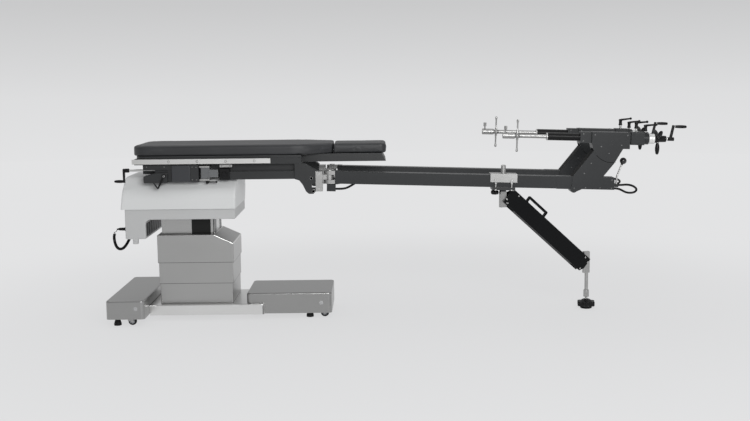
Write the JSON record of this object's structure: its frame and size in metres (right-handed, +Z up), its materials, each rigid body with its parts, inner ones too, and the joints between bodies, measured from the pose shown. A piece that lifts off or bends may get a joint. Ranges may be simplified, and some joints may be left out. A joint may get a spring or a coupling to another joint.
{
  "type": "orthopaedic operating table",
  "caption": "Orthopaedic operating table on a telescopic column and low base, with padded top, long leg spars, traction heads with crank handles and a fold-down support leg.",
  "frame": {"origin": "on the floor under the middle of the table's bounding box", "axes": "+X towards the foot end with the traction units, +Y towards the far side, +Z up; the tilt gearbox and its crank are on the -Y side"},
  "size_m": [3.4203, 0.791, 1.1822],
  "materials": {
    "stainless": "satin",
    "covers_white": "satin",
    "covers_grey": "satin",
    "chassis_steel": "satin",
    "frame_black": "satin",
    "spar_black": "satin",
    "panel_black": "matte",
    "pad_vinyl": "satin",
    "bright_steel": "polished",
    "cast_silver": "satin",
    "black_plastic": "matte",
    "black_rubber": "matte",
    "hand_control": "matte"
  },
  "bodies": {
    "chassis": {"base_frame": "chassis_steel", "head_base_cover": "stainless", "foot_base_cover": "stainless", "chassis_cover": "stainless", "column_lower_cover": "stainless"},
    "floor_locks": {"floor_lock_feet": "black_rubber"},
    "middle_cover": {"column_middle_cover": "stainless"},
    "mast": {"lift_column": "bright_steel", "column_upper_cover": "stainless"},
    "cross": {"tilt_cross": "chassis_steel"},
    "table_top": {"table_frame": "frame_black", "housing_upper_cover": "covers_white", "housing_lower_cover": "covers_grey", "table_panels": "panel_black", "side_rails": "stainless", "main_pad": "pad_vinyl", "seat_pad": "pad_vinyl", "tilt_gearbox": "frame_black", "side_clamp": "cast_silver", "spar_hinge_plates": "cast_silver", "pendant": "hand_control", "pendant_cord": "black_rubber"},
    "crank": {"tilt_crank": "black_plastic"},
    "tilt_lock": {"tilt_lock_lever": "black_plastic"},
    "clamp_lever": {"side_clamp_lever": "black_plastic"},
    "support_post": {"support_post": "cast_silver"},
    "support_arm": {"support_arm": "frame_black"},
    "support_leg": {"support_leg": "cast_silver"},
    "support_foot": {"support_foot": "black_rubber"},
    "foot_handwheel": {"foot_handwheel": "black_plastic"},
    "bracket_knob": {"bracket_knob": "black_plastic"},
    "caster_fork_head_near": {"caster_fork_head_near": "cast_silver"},
    "caster_wheel_head_near": {"caster_wheel_head_near": "black_rubber"},
    "caster_fork_head_far": {"caster_fork_head_far": "cast_silver"},
    "caster_wheel_head_far": {"caster_wheel_head_far": "black_rubber"},
    "caster_fork_foot_near": {"caster_fork_foot_near": "cast_silver"},
    "caster_wheel_foot_near": {"caster_wheel_foot_near": "black_rubber"},
    "caster_fork_foot_far": {"caster_fork_foot_far": "cast_silver"},
    "caster_wheel_foot_far": {"caster_wheel_foot_far": "black_rubber"},
    "spar_near": {"spar_near": "spar_black", "brake_hoses_near": "black_rubber", "spar_bracket": "cast_silver"},
    "traction_head_near": {"traction_head_near": "frame_black"},
    "spindle_near": {"rotation_spindle_near": "cast_silver"},
    "traction_rod_near": {"traction_rod_near": "bright_steel"},
    "boot_bar_near": {"boot_lock_bar_near": "bright_steel"},
    "traction_crank_near": {"traction_crank_near": "bright_steel"},
    "rotation_lever_near": {"rotation_lock_lever_near": "black_plastic"},
    "head_lever_near": {"head_lock_lever_near": "black_plastic"},
    "release_lever_near": {"release_lever_near": "black_plastic"},
    "spar_far": {"spar_far": "spar_black", "brake_hoses_far": "black_rubber"},
    "traction_head_far": {"traction_head_far": "frame_black"},
    "spindle_far": {"rotation_spindle_far": "cast_silver"},
    "traction_rod_far": {"traction_rod_far": "bright_steel"},
    "boot_bar_far": {"boot_lock_bar_far": "bright_steel"},
    "traction_crank_far": {"traction_crank_far": "bright_steel"},
    "rotation_lever_far": {"rotation_lock_lever_far": "black_plastic"},
    "head_lever_far": {"head_lock_lever_far": "black_plastic"},
    "release_lever_far": {"release_lever_far": "black_plastic"}
  },
  "joints": [
    {"name": "floor_lock_lift", "type": "slide", "parent": "chassis", "child": "floor_locks", "axis": [0, 0, 1], "range_m": [0, 0.012]},
    {"name": "column_lift", "type": "slide", "parent": "chassis", "child": "mast", "axis": [0, 0, 1], "range_m": [-0.18, 0.05]},
    {"name": "middle_cover_lift", "type": "slide", "parent": "chassis", "child": "middle_cover", "axis": [0, 0, 1], "range_m": [-0.109, 0.031]},
    {"name": "trendelenburg", "type": "hinge", "parent": "mast", "child": "cross", "pos_m": [-1.2545, 0, 0.7], "axis": [0, 1, 0], "range_deg": [-10, 10]},
    {"name": "lateral_tilt", "type": "hinge", "parent": "cross", "child": "table_top", "pos_m": [-1.2545, 0, 0.7], "axis": [1, 0, 0], "range_deg": [-15, 15]},
    {"name": "tilt_crank_turn", "type": "hinge", "parent": "table_top", "child": "crank", "pos_m": [-1.56, -0.255, 0.906], "axis": [1, 0, 0], "range_deg": [-1810, 1810]},
    {"name": "tilt_lock_turn", "type": "hinge", "parent": "table_top", "child": "tilt_lock", "pos_m": [-1.364, -0.285, 0.873], "axis": [0, 1, 0], "range_deg": [-25, 20]},
    {"name": "clamp_lever_turn", "type": "hinge", "parent": "table_top", "child": "clamp_lever", "pos_m": [-1.116, -0.2512, 0.833], "axis": [0, 0, 1], "range_deg": [-75, 15]},
    {"name": "caster_swivel_head_near", "type": "hinge", "parent": "chassis", "child": "caster_fork_head_near", "pos_m": [-1.584, -0.34, 0.1], "axis": [0, 0, 1], "continuous": true},
    {"name": "caster_roll_head_near", "type": "hinge", "parent": "caster_fork_head_near", "child": "caster_wheel_head_near", "pos_m": [-1.566, -0.34, 0.025], "axis": [0, 1, 0], "continuous": true},
    {"name": "caster_swivel_head_far", "type": "hinge", "parent": "chassis", "child": "caster_fork_head_far", "pos_m": [-1.584, 0.34, 0.1], "axis": [0, 0, 1], "continuous": true},
    {"name": "caster_roll_head_far", "type": "hinge", "parent": "caster_fork_head_far", "child": "caster_wheel_head_far", "pos_m": [-1.566, 0.34, 0.025], "axis": [0, 1, 0], "continuous": true},
    {"name": "caster_swivel_foot_near", "type": "hinge", "parent": "chassis", "child": "caster_fork_foot_near", "pos_m": [-0.458, -0.16, 0.1], "axis": [0, 0, 1], "continuous": true},
    {"name": "caster_roll_foot_near", "type": "hinge", "parent": "caster_fork_foot_near", "child": "caster_wheel_foot_near", "pos_m": [-0.44, -0.16, 0.025], "axis": [0, 1, 0], "continuous": true},
    {"name": "caster_swivel_foot_far", "type": "hinge", "parent": "chassis", "child": "caster_fork_foot_far", "pos_m": [-0.458, 0.16, 0.1], "axis": [0, 0, 1], "continuous": true},
    {"name": "caster_roll_foot_far", "type": "hinge", "parent": "caster_fork_foot_far", "child": "caster_wheel_foot_far", "pos_m": [-0.44, 0.16, 0.025], "axis": [0, 1, 0], "continuous": true},
    {"name": "spar_swing_near", "type": "hinge", "parent": "table_top", "child": "spar_near", "pos_m": [-0.398, -0.21, 0.852], "axis": [0.0328, 0, 0.9995], "range_deg": [-35, 5]},
    {"name": "head_tilt_near", "type": "hinge", "parent": "spar_near", "child": "traction_head_near", "pos_m": [1.26505, -0.21, 1.03954], "axis": [0, 1, 0], "range_deg": [-10, 10]},
    {"name": "foot_rotation_near", "type": "hinge", "parent": "traction_head_near", "child": "spindle_near", "pos_m": [1.40982, -0.21, 1.0608], "axis": [0.9995, 0, -0.0328], "range_deg": [-30, 30]},
    {"name": "traction_crank_turn_near", "type": "hinge", "parent": "spindle_near", "child": "traction_crank_near", "pos_m": [1.55974, -0.21, 1.05588], "axis": [0.9995, 0, -0.0328], "range_deg": [-8640, 7200]},
    {"name": "traction_slide_near", "type": "slide", "parent": "spindle_near", "child": "traction_rod_near", "axis": [0.9995, 0, -0.0328], "range_m": [-0.12, 0.1]},
    {"name": "boot_bar_turn_near", "type": "hinge", "parent": "traction_rod_near", "child": "boot_bar_near", "pos_m": [0.7132, -0.21, 1.08367], "axis": [0.9995, 0, -0.0328], "range_deg": [-90, 90]},
    {"name": "rotation_lever_turn_near", "type": "hinge", "parent": "traction_head_near", "child": "rotation_lever_near", "pos_m": [1.41307, -0.21, 1.09872], "axis": [0.0328, 0, 0.9995], "range_deg": [-30, 60]},
    {"name": "head_lever_turn_near", "type": "hinge", "parent": "traction_head_near", "child": "head_lever_near", "pos_m": [1.46794, -0.21, 1.09392], "axis": [0.0328, 0, 0.9995], "range_deg": [-30, 60]},
    {"name": "release_pull_near", "type": "hinge", "parent": "spar_near", "child": "release_lever_near", "pos_m": [1.29966, -0.21, 0.78327], "axis": [0, 1, 0], "range_deg": [0, 25], "stiffness_Nm_per_rad": 6, "springref_deg": -8.59},
    {"name": "spar_swing_far", "type": "hinge", "parent": "table_top", "child": "spar_far", "pos_m": [-0.398, 0.21, 0.852], "axis": [0.0328, 0, 0.9995], "range_deg": [-5, 35]},
    {"name": "head_tilt_far", "type": "hinge", "parent": "spar_far", "child": "traction_head_far", "pos_m": [1.26505, 0.21, 1.03954], "axis": [0, 1, 0], "range_deg": [-10, 10]},
    {"name": "foot_rotation_far", "type": "hinge", "parent": "traction_head_far", "child": "spindle_far", "pos_m": [1.40982, 0.21, 1.0608], "axis": [0.9995, 0, -0.0328], "range_deg": [-30, 30]},
    {"name": "traction_crank_turn_far", "type": "hinge", "parent": "spindle_far", "child": "traction_crank_far", "pos_m": [1.55974, 0.21, 1.05588], "axis": [0.9995, 0, -0.0328], "range_deg": [-2880, 12960]},
    {"name": "traction_slide_far", "type": "slide", "parent": "spindle_far", "child": "traction_rod_far", "axis": [0.9995, 0, -0.0328], "range_m": [-0.04, 0.18]},
    {"name": "boot_bar_turn_far", "type": "hinge", "parent": "traction_rod_far", "child": "boot_bar_far", "pos_m": [0.63324, 0.21, 1.0863], "axis": [0.9995, 0, -0.0328], "range_deg": [-90, 90]},
    {"name": "rotation_lever_turn_far", "type": "hinge", "parent": "traction_head_far", "child": "rotation_lever_far", "pos_m": [1.41307, 0.21, 1.09872], "axis": [0.0328, 0, 0.9995], "range_deg": [-30, 60]},
    {"name": "head_lever_turn_far", "type": "hinge", "parent": "traction_head_far", "child": "head_lever_far", "pos_m": [1.46794, 0.21, 1.09392], "axis": [0.0328, 0, 0.9995], "range_deg": [-30, 60]},
    {"name": "release_pull_far", "type": "hinge", "parent": "spar_far", "child": "release_lever_far", "pos_m": [1.29966, 0.21, 0.78327], "axis": [0, 1, 0], "range_deg": [0, 25], "stiffness_Nm_per_rad": 6, "springref_deg": -8.59},
    {"name": "support_swivel", "type": "hinge", "parent": "spar_near", "child": "support_post", "pos_m": [0.629, -0.21, 0.77], "axis": [0, 0, 1], "range_deg": [-30, 40]},
    {"name": "support_fold", "type": "hinge", "parent": "support_post", "child": "support_arm", "pos_m": [0.64486, -0.20388, 0.708], "axis": [-0.36, 0.933, 0], "range_deg": [-3, 6]},
    {"name": "support_level", "type": "hinge", "parent": "support_arm", "child": "support_leg", "pos_m": [1.16078, -0.0048, 0.297], "axis": [-0.36, 0.933, 0], "range_deg": [-6.1, 3.1]},
    {"name": "foot_extend", "type": "slide", "parent": "support_leg", "child": "support_foot", "axis": [0, 0, 1], "range_m": [-0.02, 0.006]},
    {"name": "foot_wheel_turn", "type": "hinge", "parent": "support_foot", "child": "foot_handwheel", "pos_m": [1.17198, -0.00048, 0.03], "axis": [0, 0, 1], "range_deg": [-2400, 720]},
    {"name": "bracket_knob_turn", "type": "hinge", "parent": "spar_near", "child": "bracket_knob", "pos_m": [0.5805, -0.21, 0.75985], "axis": [0.0328, 0, 0.9995], "range_deg": [-360, 360]}
  ],
  "couplings": [
    {"joint": "middle_cover_lift", "follows": "column_lift", "ratio": 0.6},
    {"joint": "tilt_crank_turn", "follows": "lateral_tilt", "ratio": 120},
    {"joint": "traction_slide_near", "follows": "traction_crank_turn_near", "m_per_rad": 0.00079577},
    {"joint": "traction_slide_far", "follows": "traction_crank_turn_far", "m_per_rad": 0.00079577},
    {"joint": "support_level", "follows": "support_fold", "ratio": -1},
    {"joint": "foot_extend", "follows": "foot_wheel_turn", "m_per_rad": 0.00047746}
  ]
}
